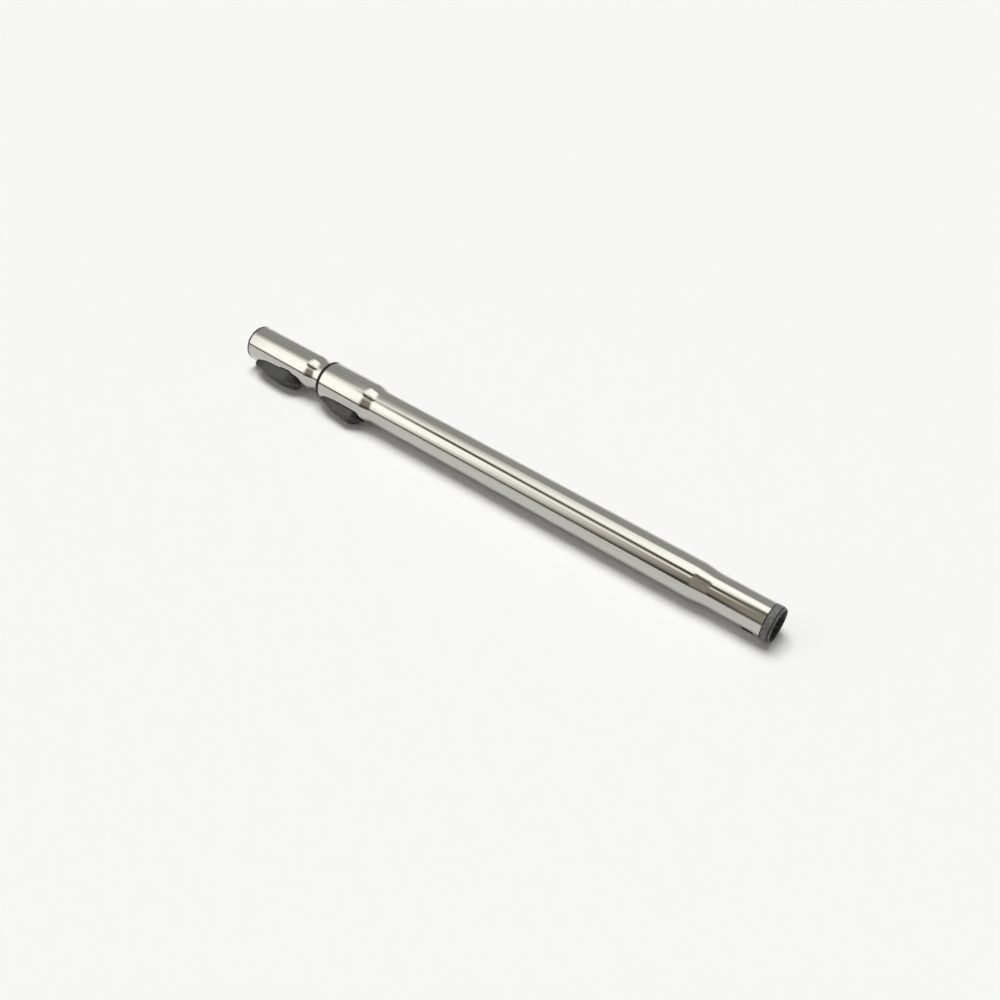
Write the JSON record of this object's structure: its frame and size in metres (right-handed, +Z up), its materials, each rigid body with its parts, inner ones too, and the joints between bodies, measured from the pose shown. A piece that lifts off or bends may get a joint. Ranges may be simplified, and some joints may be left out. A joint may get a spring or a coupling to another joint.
{
  "type": "telescopic vacuum wand",
  "caption": "Straight stainless telescopic vacuum wand: outer tube with a release lever on its wide head, sliding inner tube with a latched handle socket, and a plastic ring at the tool end.",
  "frame": {"origin": "on the axis of the tubes, at the steel edge of the tool end", "axes": "+X along the tubes from the tool end to the handle end, +Z up as the wand lies on a floor, +Y to the side of the levers"},
  "size_m": [0.662, 0.0521, 0.0442],
  "materials": {
    "stainless_steel": "drawn stainless steel, satin, with fine lines along the tube",
    "spring_steel": "plain spring steel",
    "grey_plastic": "dark grey moulded plastic, slightly worn",
    "black_plastic": "black moulded plastic",
    "lever_plastic": "dark grey moulded plastic with a fine grain",
    "inner_plastic": "natural slide plastic, not seen from outside",
    "seal_rubber": "soft black seal"
  },
  "bodies": {
    "outer": {"outer_tube": "stainless_steel", "head_tube": "stainless_steel", "tool_end_ring": "grey_plastic", "guide_bush": "black_plastic", "release_bearing": "inner_plastic", "release_pin": "spring_steel", "release_spring": "spring_steel"},
    "release": {"release_lever": "lever_plastic", "lock_blade": "spring_steel"},
    "inner": {"inner_tube": "stainless_steel", "socket_tube": "stainless_steel", "rear_guide_latch_side": "inner_plastic", "rear_guide_far_side": "inner_plastic", "rear_seal_ring": "seal_rubber", "handle_socket_liner": "black_plastic", "handle_bearing": "inner_plastic", "handle_pin": "spring_steel", "handle_spring": "spring_steel"},
    "latch": {"handle_latch": "lever_plastic"}
  },
  "joints": [
    {"name": "telescope", "type": "slide", "parent": "outer", "child": "inner", "axis": [1, 0, 0], "range_m": [0, 0.352]},
    {"name": "release_press", "type": "hinge", "parent": "outer", "child": "release", "pos_m": [0.5025, 0.02143, -0.01188], "axis": [0, 0.4848, 0.8746], "range_deg": [0, 5], "stiffness_Nm_per_rad": 0.2, "springref_deg": -5.73, "deforming": ["release_spring"]},
    {"name": "handle_latch_press", "type": "hinge", "parent": "inner", "child": "latch", "pos_m": [0.5935, 0.02055, -0.01139], "axis": [0, 0.4848, 0.8746], "range_deg": [0, 5.5], "stiffness_Nm_per_rad": 0.2, "springref_deg": -5.73, "deforming": ["handle_spring"]}
  ]
}
